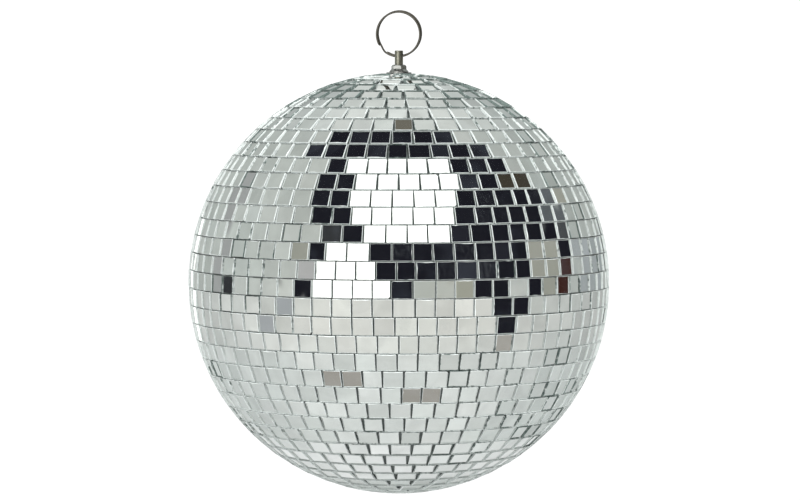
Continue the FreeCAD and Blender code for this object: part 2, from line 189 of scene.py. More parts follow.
def silver_material():
    """The silvering behind a tile's glass: a faint green cast, gone in ragged spots at the rim, and
    never quite flat, so that a reflected edge bends across a tile."""
    material, tree, shader, coords = new_material("silvering", Metallic=1.0)
    shade = attribute(tree, "tile_shade")
    glass = mix_colour(tree, shade, colour(0.79, 0.815, 0.795), colour(0.88, 0.89, 0.875))
    cloud = ramp(tree, noise(tree, coords, 90, 4), 0.3, 0.75, 0.95, 1.0)
    glass = mix_colour(tree, 1.0, glass, cloud, "MULTIPLY")
    ragged = calc(tree, "MULTIPLY", noise(tree, coords, 1500, 3, 0.6), 0.35)
    bare = ramp(tree, calc(tree, "ADD", attribute(tree, "rim"), ragged), 0.14, 0.26, 1.0, 0.0)
    tree.links.new(
        mix_colour(tree, bare, glass, colour(0.25, 0.29, 0.27)), shader.inputs["Base Color"]
    )
    tree.links.new(calc(tree, "MULTIPLY_ADD", bare, 0.25, 0.02), shader.inputs["Roughness"])
    warp = noise(tree, coords, 40, 1)
    tree.links.new(bump(tree, warp, 0.0004, 1.0), shader.inputs["Normal"])
    return material


def clear_glass_material():
    """The face of a tile: clear glass with a film of dust, scratches and wipe marks."""
    material, tree, shader, coords = new_material("clear_glass", Roughness=0.12, IOR=1.5)
    marks = attribute(tree, "tile_marks")
    wiped = noise(tree, stretched(tree, coords, (1.0, 2.4, 0.7)), 240, 5, 0.65, 1.6)
    film = ramp(tree, wiped, 0.42, 0.78, 0.0, 0.05)
    scratch = noise(tree, stretched(tree, coords, (0.5, 3.0, 4.0)), 900, 2, 0.5, 0.6)
    film = calc(tree, "ADD", film, ramp(tree, scratch, 0.66, 0.74, 0.0, 0.05))
    dust = calc(tree, "MULTIPLY_ADD", film, marks, 0.002)
    tree.links.new(dust, shader.inputs["Alpha"])
    tone = mix_colour(tree, wiped, colour(0.42, 0.47, 0.52), colour(0.62, 0.66, 0.68))
    tree.links.new(tone, shader.inputs["Base Color"])
    return material


def glass_edge_material():
    """The cut edge of a tile: frosted glass that scatters light. A dark one holds old adhesive, and
    is darkened further as painted shade where the edge would show dark things.
    """
    material, tree, shader, coords = new_material("glass_edge", IOR=1.52)
    frost = noise(tree, coords, 800, 4, 0.6)
    clean = mix_colour(tree, frost, colour(0.62, 0.68, 0.66), colour(0.86, 0.88, 0.87))
    # The dark tone is old adhesive on the edge, and also painted shade standing in for the dark
    # things that glass edges show.
    dark_soil_and_shade = mix_colour(tree, frost, colour(0.07, 0.1, 0.095), colour(0.24, 0.29, 0.27))
    spots = calc(tree, "MULTIPLY_ADD", noise(tree, coords, 420, 2), 0.9, -0.45)
    areas = calc(tree, "MULTIPLY_ADD", noise(tree, coords, 14, 1), 0.8, -0.4)
    spots = calc(tree, "ADD", spots, areas)
    soil_and_shade_mask = ramp(tree, calc(tree, "ADD", attribute(tree, "edge_dullness"), spots), 0.68, 0.9)
    tone = mix_colour(tree, soil_and_shade_mask, clean, dark_soil_and_shade)
    tree.links.new(tone, shader.inputs["Base Color"])
    tree.links.new(ramp(tree, frost, 0.3, 0.7, 0.15, 0.4), shader.inputs["Roughness"])
    ripple = noise(tree, stretched(tree, coords, (1, 1, 0.4)), 900, 2)
    tree.links.new(bump(tree, ripple, 0.0001, 0.5), shader.inputs["Normal"])
    return material


def adhesive_material():
    """The dark grey-green adhesive that holds a tile to its cloth."""
    material, tree, shader, coords = new_material("tile_adhesive", IOR=1.45)
    lumps = noise(tree, coords, 600, 4, 0.6)
    tone = mix_colour(tree, lumps, colour(0.065, 0.08, 0.08), colour(0.19, 0.22, 0.21))
    tree.links.new(tone, shader.inputs["Base Color"])
    tree.links.new(ramp(tree, lumps, 0.3, 0.7, 0.4, 0.7), shader.inputs["Roughness"])
    tree.links.new(bump(tree, lumps, 0.0002, 0.6), shader.inputs["Normal"])
    return material


def cloth_material():
    """Grey backing cloth, a plain weave stiffened with glue."""
    material, tree, shader, coords = new_material("backing_cloth", Roughness=0.9)
    split = add_node(tree, "ShaderNodeSeparateXYZ", {0: coords})
    around = calc(tree, "ARCTAN2", split.outputs["Y"], split.outputs["X"])
    warp = calc(tree, "SINE", calc(tree, "MULTIPLY", around, 1400.0))
    weft = calc(tree, "SINE", calc(tree, "MULTIPLY", split.outputs["Z"], 12000.0))
    weave = calc(tree, "MULTIPLY", warp, weft)
    glue = noise(tree, coords, 220, 4)
    tone = mix_colour(tree, glue, colour(0.1, 0.12, 0.115), colour(0.2, 0.225, 0.22))
    tone = mix_colour(tree, ramp(tree, weave, -1, 1, 0.0, 0.3), tone, colour(0.4, 0.42, 0.4))
    tree.links.new(tone, shader.inputs["Base Color"])
    tree.links.new(bump(tree, weave, 0.00008, 0.6), shader.inputs["Normal"])
    return material


def metal_material(name, dark, light, rough, grain, brushed=(1, 1, 1), dents=0.00002):
    """Worn plated or plain steel: streaked tone, uneven gloss, fine marks."""
    material, tree, shader, coords = new_material(name, Metallic=1.0)
    streak = noise(tree, stretched(tree, coords, brushed), grain, 5, 0.65)
    patch = noise(tree, coords, 350, 3)
    tone = mix_colour(tree, ramp(tree, streak, 0.3, 0.7), colour(*dark), colour(*light))
    grime = ramp(tree, patch, 0.55, 0.75, 0.0, 0.3)
    tone = mix_colour(tree, grime, tone, colour(*(0.55 * c for c in dark)))
    tree.links.new(tone, shader.inputs["Base Color"])
    uneven = calc(tree, "MULTIPLY_ADD", streak, 0.15, calc(tree, "MULTIPLY", patch, 0.2))
    tree.links.new(calc(tree, "ADD", uneven, rough - 0.17), shader.inputs["Roughness"])
    tree.links.new(bump(tree, streak, dents, 0.7), shader.inputs["Normal"])
    return material


def plastic_material():
    """Moulded matt plastic of the core."""
    material, tree, shader, coords = new_material("core_plastic", IOR=1.5)
    grain = noise(tree, coords, 1200, 4)
    drift = noise(tree, coords, 14, 2)
    tone = mix_colour(tree, drift, colour(0.68, 0.68, 0.65), colour(0.78, 0.78, 0.75))
    tone = mix_colour(tree, ramp(tree, grain, 0.4, 0.8, 0.0, 0.12), tone, colour(0.5, 0.5, 0.48))
    tree.links.new(tone, shader.inputs["Base Color"])
    tree.links.new(ramp(tree, grain, 0.2, 0.8, 0.45, 0.65), shader.inputs["Roughness"])
    tree.links.new(bump(tree, grain, 0.00004, 0.5), shader.inputs["Normal"])
    return material


TILE_MATERIALS = [
    silver_material(),
    glass_edge_material(),
    clear_glass_material(),
    adhesive_material(),
]
SILVER, EDGE, CLEAR, ADHESIVE = range(len(TILE_MATERIALS))
CLOTH = cloth_material()
# The ring's steel is painted far darker than bare steel: a painted dark reflection, standing in for
# the dark surroundings the polished ring would mirror.
RING_STEEL = metal_material("ring_steel", (0.075, 0.07, 0.058), (0.11, 0.105, 0.09), 0.3, 60)
POST_STEEL = metal_material(
    "post_steel", (0.27, 0.265, 0.215), (0.36, 0.35, 0.29), 0.34, 120, (1, 1, 0.15)
)
ZINC = metal_material("zinc_plating", (0.32, 0.325, 0.31), (0.46, 0.465, 0.45), 0.28, 120)
PLASTIC = plastic_material()

# ---- tiles ---------------------------------------------------------------------------------------

TILE_SIDE_CUTS = 3
TILE_BEVEL = 0.09 * MM
# Heights above the back of the CAD tile: the true back of the glass, the silvering as it looks
# through the glass, and the foot of the adhesive below the back.
GLASS_LIFT = 0.7 * MM
SILVER_LIFT = 1.5 * MM
ADHESIVE_SINK = 0.2 * MM
SILVER_MARGIN = 0.12 * MM
SILVER_RIM = 0.6 * MM
# What the cutting leaves, in millimetres: corners and sides trimmed, now and then broken.
CORNER_TRIM, CORNER_BREAK = (0.05, 0.22), (0.4, 1.1)
SIDE_BOW, SIDE_WAVE, SIDE_NICK = (0, 0.06), (0, 0.04), (0.08, 0.3)
BROKEN_CORNERS, ROUGH_SIDES = 0.05, 0.15
NICKS_ON_ROUGH_SIDE, NICKS_ELSEWHERE = 0.6, 0.06


def read_tiles(node):
    """(corner, width vector, height vector, thickness vector) of every box in a CAD node. The
    corner is the back, lower, left one seen from outside."""
    work = bmesh.new()
    work.from_mesh(frame["nodes"][node].data)
    bmesh.ops.remove_doubles(work, verts=work.verts, dist=0.001 * MM)
    seen, boxes = set(), []
    for start in work.verts:
        if start in seen:
            continue
        island, queue = [], [start]
        seen.add(start)
        while queue:
            vertex = queue.pop()
            island.append(vertex.co.copy())
            for edge in vertex.link_edges:
                other = edge.other_vert(vertex)
                if other not in seen:
                    seen.add(other)
                    queue.append(other)
        boxes.append(box_vectors(island))
    work.free()
    return boxes


def box_vectors(corners):
    """Corner and vectors, as read_tiles gives them, of the box that has these eight corners."""
    middle = sum(corners, Vector()) / len(corners)
    outward = (middle - CENTRE).normalized()
    east = Vector((0, 0, 1)).cross(outward)
    east = east.normalized() if east.length > 0.01 else Vector((1, 0, 0))
    north = outward.cross(east)
    first, found = corners[0], []
    for other in sorted(corners[1:], key=lambda c: (c - first).length):
        edge = other - first
        if all(abs(edge.dot(kept)) < 1e-3 * edge.length * kept.length for kept in found):
            found.append(edge)
    vectors = []
    for direction in (east, north, outward):
        edge = max(found, key=lambda e: abs(e.normalized().dot(direction)))
        vectors.append(edge if edge.dot(direction) > 0 else -edge)
    return middle - sum(vectors, Vector()) / 2, *vectors


def tile_outline(chance, width, height):
    """A hand-cut square, always inside the true one: slightly rounded or broken corners, and sides
    that aren't quite straight, with a nick here and there. Each point is (x, y, nick's depth), in
    metres from the square's lower left corner."""
    corners = [(0, 0), (width, 0), (width, height), (0, height)]
    trims = [chance.uniform(*CORNER_TRIM) * MM for _ in corners]
    for index in range(4):
        if chance.random() < BROKEN_CORNERS:
            trims[index] = chance.uniform(*CORNER_BREAK) * MM
    outline = []
    for index, (x, y) in enumerate(corners):
        nx, ny = corners[(index + 1) % 4]
        length = math.hypot(nx - x, ny - y)
        ux, uy = (nx - x) / length, (ny - y) / length
        start, end = trims[index], length - trims[(index + 1) % 4]
        bow = chance.uniform(*SIDE_BOW) * MM
        nicks = NICKS_ON_ROUGH_SIDE if chance.random() < ROUGH_SIDES else NICKS_ELSEWHERE
        for step in range(TILE_SIDE_CUTS + 2):
            along = start + (end - start) * step / (TILE_SIDE_CUTS + 1)
            inward = nick = 0.0
            if 0 < step <= TILE_SIDE_CUTS:
                along += chance.uniform(-0.7, 0.7) * MM
                inward = bow + chance.uniform(*SIDE_WAVE) * MM
                if chance.random() < nicks:
                    nick = chance.uniform(*SIDE_NICK) * MM
            outline.append((x + ux * along - uy * inward, y + uy * along + ux * inward, nick))
    return outline


class TileMesh:
    """Collects the points, faces and values of a row of tiles."""

    def __init__(self):
        self.points, self.rims, self.faces, self.kinds = [], [], [], []
        self.values = {"tile_shade": [], "tile_marks": [], "edge_dullness": []}

    def add_loop(self, points, rim=0.0):
        start = len(self.points)
        self.points += points
        self.rims += [rim] * len(points)
        return list(range(start, start + len(points)))

    def add_face(self, loop, kind):
        self.faces.append(tuple(loop))
        self.kinds.append(kind)

    def add_band(self, low, high, kind):
        """The quads between two loops of the same length; the outside is seen if high is above."""
        for index in range(len(low)):
            after = (index + 1) % len(low)
            self.add_face((low[index], low[after], high[after], high[index]), kind)

    def set_values(self, **values):
        """Gives these values to every face added since the last call."""
        for name, value in values.items():
            self.values[name] += [value] * (len(self.faces) - len(self.values[name]))

    def make(self, name):
        mesh = mesh_from(name, self.points, self.faces, smooth=False)
        mesh.polygons.foreach_set("material_index", self.kinds)
        for attribute_name, values in self.values.items():
            mesh.attributes.new(attribute_name, "FLOAT", "FACE").data.foreach_set("value", values)
        mesh.attributes.new("rim", "FLOAT", "POINT").data.foreach_set("value", self.rims)
        return mesh


def build_tile(chance, tiles, corner, wide, high, thick):
    """One tile: a slab of glass, silvered underneath, on its pad of adhesive. Both are closed. The
    silver lies nearer to the face than the true back of the glass, since glass seen from the front
    looks about that much thinner than it is."""
    width, height, depth = wide.length, high.length, thick.length
    x_axis, y_axis, z_axis = wide / width, high / height, thick / depth

    def loop(outline, z, inset=0.0, rim=0.0, nick_in=0.0, nick_down=0.0):
        """The outline at a height. A nick moves its point in and down by these shares of it."""
        points = []
        for x, y, nick in outline:
            shrink = inset + nick * nick_in
            x = width / 2 + (x - width / 2) * (1 - 2 * shrink / width)
            y = height / 2 + (y - height / 2) * (1 - 2 * shrink / height)
            points.append(corner + x_axis * x + y_axis * y + z_axis * (z - nick * nick_down))
        return tiles.add_loop(points, rim)

    outline = tile_outline(chance, width, height)
    bevel = TILE_BEVEL * chance.uniform(0.7, 1.5)
    undercut = chance.uniform(0, 0.1) * MM
    foot = loop(outline, GLASS_LIFT, undercut)
    shoulder = loop(outline, depth - bevel, nick_in=0.4, nick_down=0.24)
    front = loop(outline, depth, bevel, nick_in=1.0)
    lip = loop(outline, GLASS_LIFT, undercut + SILVER_MARGIN)
    brink = loop(outline, SILVER_LIFT, undercut + SILVER_MARGIN)
    silver = loop(outline, SILVER_LIFT, undercut + SILVER_RIM, rim=1.0)
    tiles.add_band(foot, shoulder, EDGE)
    tiles.add_band(shoulder, front, EDGE)
    tiles.add_face(front, CLEAR)
    tiles.add_band(lip, foot, EDGE)
    tiles.add_band(brink, lip, EDGE)
    tiles.add_band(silver, brink, SILVER)
    tiles.add_face(reversed(silver), SILVER)
    spread = chance.uniform(0.35, 0.8) * MM
    square = [(0, 0, 0), (width, 0, 0), (width, height, 0), (0, height, 0)]
    below = loop(square, -ADHESIVE_SINK, spread * 0.6)
    above = loop(square, GLASS_LIFT - 0.02 * MM, spread)
    tiles.add_band(below, above, ADHESIVE)
    tiles.add_face(above, ADHESIVE)
    tiles.add_face(reversed(below), ADHESIVE)


# How dark the cut edges are: everywhere, from soiling and painted shade, and the painted shade
# added towards the crown, from the first of these heights to the second, as shares of the ball's
# radius.
BASE_EDGE_SOIL_AND_SHADE = 0.35
CROWN_PAINTED_SHADE = 0.42
CROWN_RISE = (0.8, 0.95)
# Where painted shade darkens them most, standing in for the dark things their glass would show
# there: degrees round the ball from -Y, degrees up, reach in degrees and strength.
PAINTED_SHADE_PLACES = [
    (52, -32, 42, 0.3),
    (-31, 6, 24, 0.22),
    (72, 6, 20, 0.3),
    (-50, 62, 30, 0.2),
    (80, 58, 36, 0.35),
]


def painted_edge_shade(outward):
    """How much more than usual painted shade darkens the cut edges in this direction from the
    centre.
    """
    most = 0.0
    for turn, rise, reach, strength in PAINTED_SHADE_PLACES:
        share = 1 - math.degrees(outward.angle(direction_to(turn, rise))) / reach
        most = max(most, strength * min(1.0, 2 * share))
    return most


def build_row(node, seed):
    """The tiles of one CAD row as one mesh, and its name."""
    chance = random.Random(seed)
    tiles = TileMesh()
    rise = (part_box(node)[1].z - CENTRE.z) / BALL_RADIUS
    begins, ends = CROWN_RISE
    # Towards the crown the edges get painted shade on top of the usual soiling.
    edge_darkness = BASE_EDGE_SOIL_AND_SHADE + CROWN_PAINTED_SHADE * clamped((rise - begins) / (ends - begins))
    for corner, wide, high, thick in read_tiles(node):
        build_tile(chance, tiles, corner, wide, high, thick)
        # Painted shade at the places where the edges would show dark things.
        extra = painted_edge_shade(corner + (wide + high) / 2 - CENTRE)
        tiles.set_values(
            tile_shade=clamped(chance.gauss(0.45, 0.28)),
            tile_marks=chance.uniform(0.3, 0.9) if chance.random() < 0.2 else 0.06,
            edge_dullness=clamped(chance.gauss(edge_darkness, 0.22) + extra),
        )
    name = node.replace("mirror", "tiles")
    return tiles.make(name), name


FIRST_ROW_SEED = 100


def add_tiles():
    rows = sorted(n for n in frame["nodes"] if n.startswith("mirror_"))
    for index, node in enumerate(rows):
        mesh, name = build_row(node, FIRST_ROW_SEED + index)
        add_piece(name, mesh, "ball", TILE_MATERIALS, [node])


# ---- backing cloth -------------------------------------------------------------------------------

GLUE_THICKNESS = 0.25 * MM
CLOTH_THICKNESS = 0.3 * MM
CLOTH_EDGE_GAP = 0.1 * MM
CLOTH_FRAY = (0, 0.1)
PATCH_SHARE = 0.95
PATCH_FRAY = (0.96, 1.0)
CLOTH_SEED = 50
CLOTH_COLUMNS = 240
PATCH_COLUMNS = 24


def row_cones():
    """(latitude, distance of the tiles' backs from the centre) of each row, from the top."""
    cones = []
    for node in sorted(n for n in frame["nodes"] if n.startswith("mirror_row_")):
        outwards, backs = Vector(), 0.0
        tiles = read_tiles(node)
        for corner, wide, high, thick in tiles:
            back = corner + (wide + high) / 2 - CENTRE
            outwards += Vector((Vector((back.x, back.y)).length, 0, back.z))
            backs += back.length
        cones.append((math.atan2(outwards.z, outwards.x), backs / len(tiles)))
    return cones


def strip_points(chance, latitude, outer, reach):
    """A strip of cloth round a row's cone, a column at a time: up its outside, down its inside."""
    points = []
    for column in range(CLOTH_COLUMNS):
        angle = 2 * math.pi * column / CLOTH_COLUMNS
        east = Vector((math.cos(angle), math.sin(angle), 0))
        outward = east * math.cos(latitude) + Vector((0, 0, math.sin(latitude)))
        north = Vector((0, 0, math.cos(latitude))) - east * math.sin(latitude)
        fray = [chance.uniform(*CLOTH_FRAY) * MM for _ in range(2)]
        across = ((-1, fray[0]), (-0.5, 0), (0, 0), (0.5, 0), (1, fray[1]))
        section = [(outer, share, trim) for share, trim in across]
        section += [(outer - CLOTH_THICKNESS, share, trim) for share, trim in reversed(across)]
        for level, share, trim in section:
            points.append(CENTRE + outward * level + north * (share * (reach - trim)))
    return points


def add_patch(chance, points, faces):
    """Adds the round patch of cloth under the tile at the lower pole."""
    low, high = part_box("mirror_bottom_tile")
    radius = (high.x - low.x) / 2 * PATCH_SHARE
    lower = len(points)
    upper = lower + PATCH_COLUMNS
    for lift in (GLUE_THICKNESS, GLUE_THICKNESS + CLOTH_THICKNESS):
        for column in range(PATCH_COLUMNS):
            angle = 2 * math.pi * column / PATCH_COLUMNS
            r = radius * chance.uniform(*PATCH_FRAY)
            points.append(Vector((r * math.cos(angle), r * math.sin(angle), high.z + lift)))
    faces.append(tuple(reversed(range(lower, upper))))
    faces.append(tuple(range(upper, upper + PATCH_COLUMNS)))
    for column in range(PATCH_COLUMNS):
        after = (column + 1) % PATCH_COLUMNS
        faces.append((lower + column, lower + after, upper + after, upper + column))


def add_cloth():
    """The strips of cloth that the rows are glued to, each wrapped round the core under its row,
    with slightly frayed edges, and the patch under the last tile."""
    chance = random.Random(CLOTH_SEED)
    cones = row_cones()
    pitch = (cones[0][0] - cones[-1][0]) / (len(cones) - 1)
    points, faces = [], []
    for latitude, back in cones:
        outer = back - GLUE_THICKNESS
        reach = outer * math.tan(pitch / 2) - CLOTH_EDGE_GAP
        base = len(points)
        strip = strip_points(chance, latitude, outer, reach)
        points += strip
        for face in grid_faces(CLOTH_COLUMNS, len(strip) // CLOTH_COLUMNS, wrap_rows=True):
            faces.append(tuple(base + point for point in face))
    add_patch(chance, points, faces)
    cloth = add_piece(
        "cloth_strips",
        recalculate(mesh_from("cloth_strips", points, faces)),
        "ball",
        [CLOTH],
        ["cloth_backing"],
    )
    sharpen(cloth.data)


# ---- hanger --------------------------------------------------------------------------------------


def box_height(node, end):
    """Height of a CAD node's lower (0) or upper (1) end."""
    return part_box(node)[end].z


RING_COIL_RADIUS = 13.2 * MM
RING_WIRE = (1.1 * MM, 1.0 * MM)
RING_WIRE_FILLET = 0.28 * MM
RING_TIP_LENGTH = 1.5 * MM
RING_TIP_SHARE = 0.55
RING_COIL_GAP = 0.06 * MM
RING_COIL_SHIFT = 0.25 * MM
RING_TURN = math.radians(149.5)
RING_STEP = math.radians(25)
RING_SECTIONS = 300


def rounded_section(width, thickness, fillet, steps=4):
    """Points of a rounded rectangle about the origin."""
    points = []
    for quarter, (sx, sy) in enumerate(((1, 1), (-1, 1), (-1, -1), (1, -1))):
        for step in range(steps + 1):
            angle = (quarter + step / steps) * math.pi / 2
            x = sx * (width / 2 - fillet) + fillet * math.cos(angle)
            y = sy * (thickness / 2 - fillet) + fillet * math.sin(angle)
            points.append((x, y))
    return points


def ring_mesh():
    """One flat wire that goes round nearly twice, crossing from the front coil to the rear one."""
    width, thickness = RING_WIRE
    section = rounded_section(width, thickness, RING_WIRE_FILLET)
    centre = Vector((0, 0, (box_height("split_ring", 0) + box_height("split_ring", 1)) / 2))
    coil = 2 * math.pi - RING_STEP
    total = 2 * coil + RING_STEP
    points = []
    for step in range(RING_SECTIONS + 1):
        travelled = total * step / RING_SECTIONS
        across = clamped((travelled - coil) / RING_STEP)
        side = 2 * (across * across * (3 - 2 * across)) - 1
        angle = RING_TURN + travelled
        radial = Vector((math.cos(angle), 0, -math.sin(angle)))
        middle = centre + radial * RING_COIL_RADIUS
        middle += Vector((1, 0, 1)) * RING_COIL_SHIFT * side
        middle.y = side * (thickness + RING_COIL_GAP) / 2
        from_end = min(travelled, total - travelled) * RING_COIL_RADIUS
        taper = min(1.0, RING_TIP_SHARE + (1 - RING_TIP_SHARE) * from_end / RING_TIP_LENGTH)
        points += [middle + radial * x * taper + Vector((0, y * taper, 0)) for x, y in section]
    faces = grid_faces(RING_SECTIONS + 1, len(section))
    faces.append(tuple(range(len(section))))
    faces.append(tuple(reversed(range(len(points) - len(section), len(points)))))
    return mesh_from("split_ring_wire", points, faces)


def lathe(name, profile, columns=96, shape=None):
    """Turns (radius, height) pairs about Z. shape(radius, height, angle) may change the radius.
    A profile that starts and ends on the axis is closed there; any other is closed on itself."""
    points = []
    closed = profile[0][0] != 0
    for radius, height in profile:
        for column in range(columns):
            angle = 2 * math.pi * column / columns
            r = shape(radius, height, angle) if shape else radius
            points.append((r * math.cos(angle), r * math.sin(angle), height))
    mesh = mesh_from(name, points, grid_faces(len(profile), columns, wrap_rows=closed))
    if not closed:
        work = bmesh.new()
        work.from_mesh(mesh)
        bmesh.ops.remove_doubles(work, verts=work.verts, dist=0.0005 * MM)
        work.to_mesh(mesh)
        work.free()
    return mesh


def recalculate(mesh):
    work = bmesh.new()
    work.from_mesh(mesh)
    bmesh.ops.recalc_face_normals(work, faces=work.faces)
    work.to_mesh(mesh)
    work.free()
    return mesh


POST_RADIUS = 2.5 * MM
POST_ROUNDING = 0.4 * MM
POST_END_RADIUS = 1.9 * MM
POST_CHAMFER = 0.1 * MM
SHANK_LENGTH = 9.0 * MM
RELIEF_LENGTH = 0.8 * MM
RELIEF_RADIUS = 2.1 * MM
THREAD_PITCH = 0.8 * MM
THREAD_DEPTH = 0.42 * MM
THREAD_LEAD = 0.35 * MM
THREAD_START = 1.0 * MM
THREAD_RUNOUT = 0.5 * MM
BORE_RADIUS = 1.5 * MM
BORE_LIP = 0.16 * MM


def post_mesh():
    """A turned post with a rounded top, a plain shank, and a helical thread below it."""
    low, high = box_height("hanger_post", 0), box_height("hanger_post", 1)
    shank_low = high - SHANK_LENGTH
    thread_top = shank_low - RELIEF_LENGTH
    thread_rows = int((thread_top - low) / (THREAD_PITCH / 8))
    profile = [(0.0, low), (POST_END_RADIUS, low)]
    for row in range(thread_rows + 1):
        profile.append((None, low + (thread_top - low) * row / thread_rows))
    profile += [
        (RELIEF_RADIUS, thread_top + POST_CHAMFER),
        (RELIEF_RADIUS, shank_low - POST_CHAMFER),
        (POST_RADIUS - 0.8 * POST_CHAMFER, shank_low),
        (POST_RADIUS, shank_low + POST_CHAMFER),
        (POST_RADIUS, high - 3.6 * MM),
        (POST_RADIUS, high - 0.45 * MM),
    ]
    for step in range(1, 6):
        angle = math.pi / 2 * step / 5
        radius = POST_RADIUS - POST_ROUNDING * (1 - math.cos(angle))
        profile.append((radius, high - POST_ROUNDING * (1 - math.sin(angle))))
    profile.append((0.0, high))

    def shape(radius, height, angle):
        """The thread, where the profile gives no radius, with a lead at both of its ends."""
        if radius is not None:
            return radius
        phase = (height / THREAD_PITCH - angle / (2 * math.pi)) % 1.0
        groove = clamped(1.25 - 2.5 * abs(phase - 0.5))
        below, above = (height - low) / THREAD_START, (thread_top - height) / THREAD_RUNOUT
        lead = min(1.0, below, above + 0.2)
        return POST_RADIUS - THREAD_DEPTH * groove - THREAD_LEAD * (1 - max(0.0, lead))

    return recalculate(lathe("post", profile, 72, shape))


def cross_bore_cutter():
    """The drill for the cross hole, wider at both mouths for a broken edge."""
    height = frame["joints"][0]["pos_m"][2]
    reach, mouth, throat = 3.2 * MM, 2.42 * MM, 2.26 * MM
    profile = [(0.0, -reach)]
    for side in (-1, 1):
        steps = [(BORE_RADIUS + BORE_LIP, reach), (BORE_RADIUS + BORE_LIP, mouth)]
        steps.append((BORE_RADIUS, throat))
        if side > 0:
            steps.reverse()
        profile += [(r, side * h) for r, h in steps]
    profile.append((0.0, reach))
    mesh = recalculate(lathe("cross_bore", profile, 48))
    mesh.transform(Matrix.Translation((0, 0, height)) @ Matrix.Rotation(math.pi / 2, 4, "Y"))
    return loose(mesh)


def combine(piece, other, operation):
    """Joins, cuts or intersects the piece with the other object for good, and removes the other."""
    modifier = piece.modifiers.new("combine", "BOOLEAN")
    modifier.operation = operation
    modifier.solver = "EXACT"
    modifier.object = other
    bpy.context.view_layer.update()
    graph = bpy.context.evaluated_depsgraph_get()
    made = bpy.data.meshes.new_from_object(piece.evaluated_get(graph))
    piece.modifiers.remove(modifier)
    piece.data = made
    bpy.data.objects.remove(other)


def loose(mesh):
    """A plain object that shows the mesh, for use in combine."""
    made = bpy.data.objects.new(mesh.name, mesh)
    bpy.context.scene.collection.objects.link(made)
    return made


def hexagon(radius, height, angle):
    """Turns a lathe's radius, taken as half the width across flats, into a hexagon's."""
    return radius / math.cos((angle % (math.pi / 3)) - math.pi / 6)


def flange_nut_mesh():
    """A flanged hexagon nut: corners turned off on top, a conical flange, a countersunk bore."""
    low, high = box_height("flange_nut", 0), box_height("flange_nut", 1)
    flat, rim, bore = 4.0 * MM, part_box("flange_nut")[1].x, 2.55 * MM
    foot = low + 0.3 * MM
    prism = [(0.0, foot), (flat, foot), (flat, high), (0.0, high)]
    nut = loose(recalculate(lathe("crown_nut", prism, 6 * 16, hexagon)))
    crown = 3.65 * MM
    blank = [(0.0, low), (crown + high - low, low), (crown + 0.12 * MM, high - 0.12 * MM)]
    blank += [(crown - 0.1 * MM, high), (0.0, high)]
    combine(nut, loose(recalculate(lathe("turned_blank", blank, 120))), "INTERSECT")
    edge, fillet, rim_height, cone_height = 0.15 * MM, 0.2 * MM, 0.55 * MM, 2.3 * MM
    flange = [(0.0, low), (rim - edge, low), (rim, low + edge), (rim, low + rim_height)]
    flange += [(rim - fillet, low + rim_height + fillet)]
    flange += [(flat + 1.5 * fillet, low + cone_height - fillet)]
    flange += [(flat - 1.5 * fillet, low + cone_height), (0.0, low + cone_height)]
    combine(nut, loose(recalculate(lathe("flange", flange, 120))), "UNION")
    sink = 0.35 * MM
    drill = [(0.0, low - MM), (bore + sink, low - MM), (bore + sink, low), (bore, low + sink)]
    drill += [(bore, high - sink), (bore + sink, high), (bore + sink, high + MM), (0.0, high + MM)]
    combine(nut, loose(recalculate(lathe("drill", drill, 64))), "DIFFERENCE")
    mesh = nut.data
    bpy.data.objects.remove(nut)
    return mesh


def ring_disc_mesh(name, low, high, outer, bore, edge):
    """A washer with rounded edges."""
    profile = [
        (bore + edge * 0.5, low),
        (outer - edge, low),
        (outer - edge * 0.3, low + edge * 0.3),
        (outer, low + edge),
        (outer, high - edge),
        (outer - edge * 0.3, high - edge * 0.3),
        (outer - edge, high),
        (bore + edge, high),
        (bore + edge * 0.3, high - edge * 0.3),
        (bore, high - edge),
        (bore, low + edge * 0.5),
    ]
    return recalculate(lathe(name, profile, 96))


def sharpen(mesh, angle=35):
    """Smooth shading, but for edges that turn by more than the angle."""
    work = bmesh.new()
    work.from_mesh(mesh)
    for edge in work.edges:
        if len(edge.link_faces) == 2 and edge.calc_face_angle(0) > math.radians(angle):
            edge.smooth = False
    for face in work.faces:
        face.smooth = True
    work.to_mesh(mesh)
    work.free()


WASHER_RADIUS, WASHER_BORE, WASHER_EDGE = 7.5 * MM, 2.65 * MM, 0.2 * MM


def washer_mesh():
    low, high = box_height("top_washer", 0), box_height("top_washer", 1)
    return ring_disc_mesh("crown_washer", low, high, WASHER_RADIUS, WASHER_BORE, WASHER_EDGE)


def add_hanger():
    """The ring, the post with its cross hole, the nut and the washer."""
    pieces = []
    for name, mesh, body, material, node, slot in (
        ("split_ring_wire", ring_mesh(), "ring", RING_STEEL, "split_ring", "ring_steel"),
        ("threaded_post", post_mesh(), "ball", POST_STEEL, "hanger_post", "post_steel"),
        ("crown_nut", flange_nut_mesh(), "ball", ZINC, "flange_nut", "zinc_plated_steel"),
        ("crown_washer", washer_mesh(), "ball", ZINC, "top_washer", "zinc_plated_steel"),
    ):
        pieces.append(add_piece(name, mesh, body, [material], [node]))
    combine(pieces[1], cross_bore_cutter(), "DIFFERENCE")
    for piece in pieces:
        sharpen(piece.data)


# ---- carried-over CAD nodes ----------------------------------------------------------------------


def finish_cad_nodes():
    """Gives the nodes inside the core, whose CAD shape stays, their materials."""
    finishes = {
        "shell_upper": PLASTIC,
        "shell_lower": PLASTIC,
        "load_plate": ZINC,
        "lock_washer": ZINC,
        "inner_nut": ZINC,
        "jam_nut": ZINC,
    }
    for node, material in finishes.items():
        mesh = frame["nodes"][node].data
        for index in range(len(mesh.materials)):
            mesh.materials[index] = material


# ---- stage ---------------------------------------------------------------------------------------

